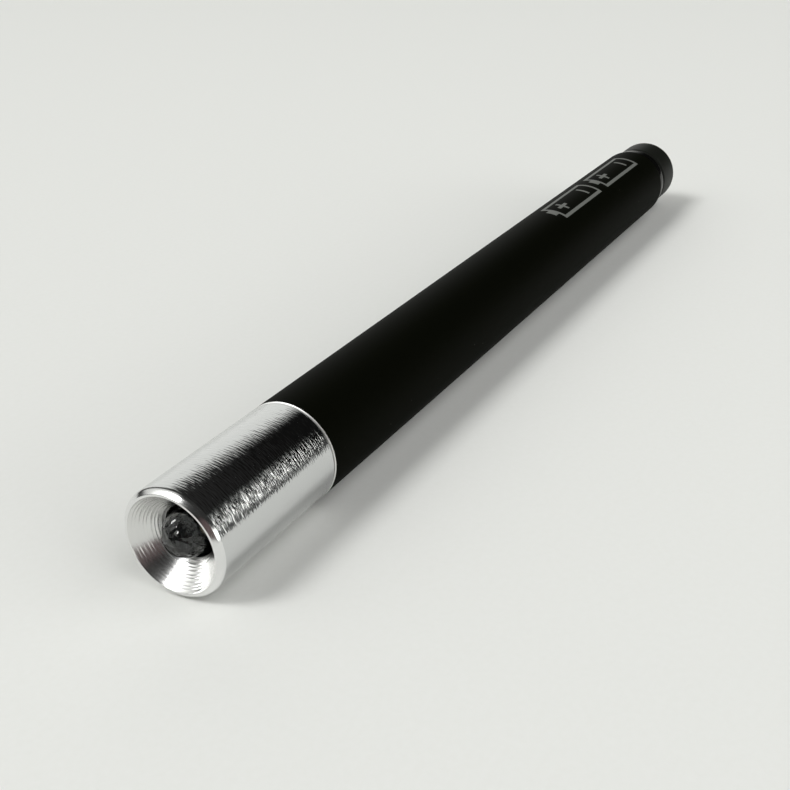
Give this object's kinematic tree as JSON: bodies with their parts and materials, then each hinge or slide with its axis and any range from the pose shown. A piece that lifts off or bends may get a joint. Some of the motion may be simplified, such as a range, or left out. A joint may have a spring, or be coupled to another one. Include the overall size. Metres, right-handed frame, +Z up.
{
  "type": "penlight",
  "caption": "Slim pen-shaped torch: turned aluminium head with a countersunk mouth round a bare LED, black tube for slim cells, gloss black tail collar and push button.",
  "frame": {"origin": "middle of the penlight's length, on the surface it lies on", "axes": "+X along the penlight from head to button, +Z up, +Y across"},
  "size_m": [0.15, 0.0124, 0.0125],
  "materials": {
    "turned_aluminium": "turned, fine circumferential lines, polished rim",
    "gloss_black": "turned, gloss black anodise",
    "black_anodise": "matt black anodise",
    "button_plastic": "moulded, satin gloss",
    "led_epoxy": "water-clear cast epoxy",
    "lead_frame": "silver-plated",
    "phosphor": "yellow phosphor",
    "nylon": "natural nylon",
    "board": "solder mask",
    "resistor": "ceramic chip",
    "brass": "stamped and turned",
    "seal_rubber": "moulded",
    "spring_steel": "nickel-plated wire",
    "steel": "ground",
    "cell_steel": "nickel-plated",
    "cell_jacket": "plain shrink film"
  },
  "bodies": {
    "barrel": {"barrel_tube": "black_anodise", "front_cell_can": "cell_steel", "front_cell_jacket": "cell_jacket", "front_cell_grommet": "nylon", "front_cell_base": "cell_steel", "rear_cell_can": "cell_steel", "rear_cell_jacket": "cell_jacket", "rear_cell_grommet": "nylon", "rear_cell_base": "cell_steel", "tail_spring": "spring_steel", "contact_plate": "brass", "contact_rivet": "brass", "switch_housing": "nylon", "earth_contact": "brass", "return_spring": "spring_steel", "tail_collar": "gloss_black", "stem_seal": "seal_rubber"},
    "seal": {"head_seal": "seal_rubber"},
    "head": {"head_shell": "turned_aluminium", "led_lens": "led_epoxy", "led_cathode": "lead_frame", "led_anode": "lead_frame", "led_chip": "phosphor", "led_holder": "nylon", "contact_board": "board", "series_resistor": "resistor", "centre_contact": "brass", "lock_ring": "brass"},
    "button": {"button_cap": "button_plastic", "button_stem": "steel", "contact_bridge": "brass"}
  },
  "joints": [
    {"name": "button_press", "type": "slide", "parent": "barrel", "child": "button", "axis": [-1, 0, 0], "range_m": [0, 0.001], "stiffness_N_per_m": 900, "springref_m": -0.001, "deforming": ["return_spring"]},
    {"name": "head_advance", "type": "slide", "parent": "barrel", "child": "seal", "axis": [-1, 0, 0], "range_m": [0, 0.00501]},
    {"name": "head_turn", "type": "hinge", "parent": "seal", "child": "head", "pos_m": [-0.054, 0, 0.00625], "axis": [-1, 0, 0], "range_deg": [0, 1800]}
  ],
  "couplings": [
    {"joint": "head_advance", "follows": "head_turn", "m_per_rad": 0.00015915}
  ]
}
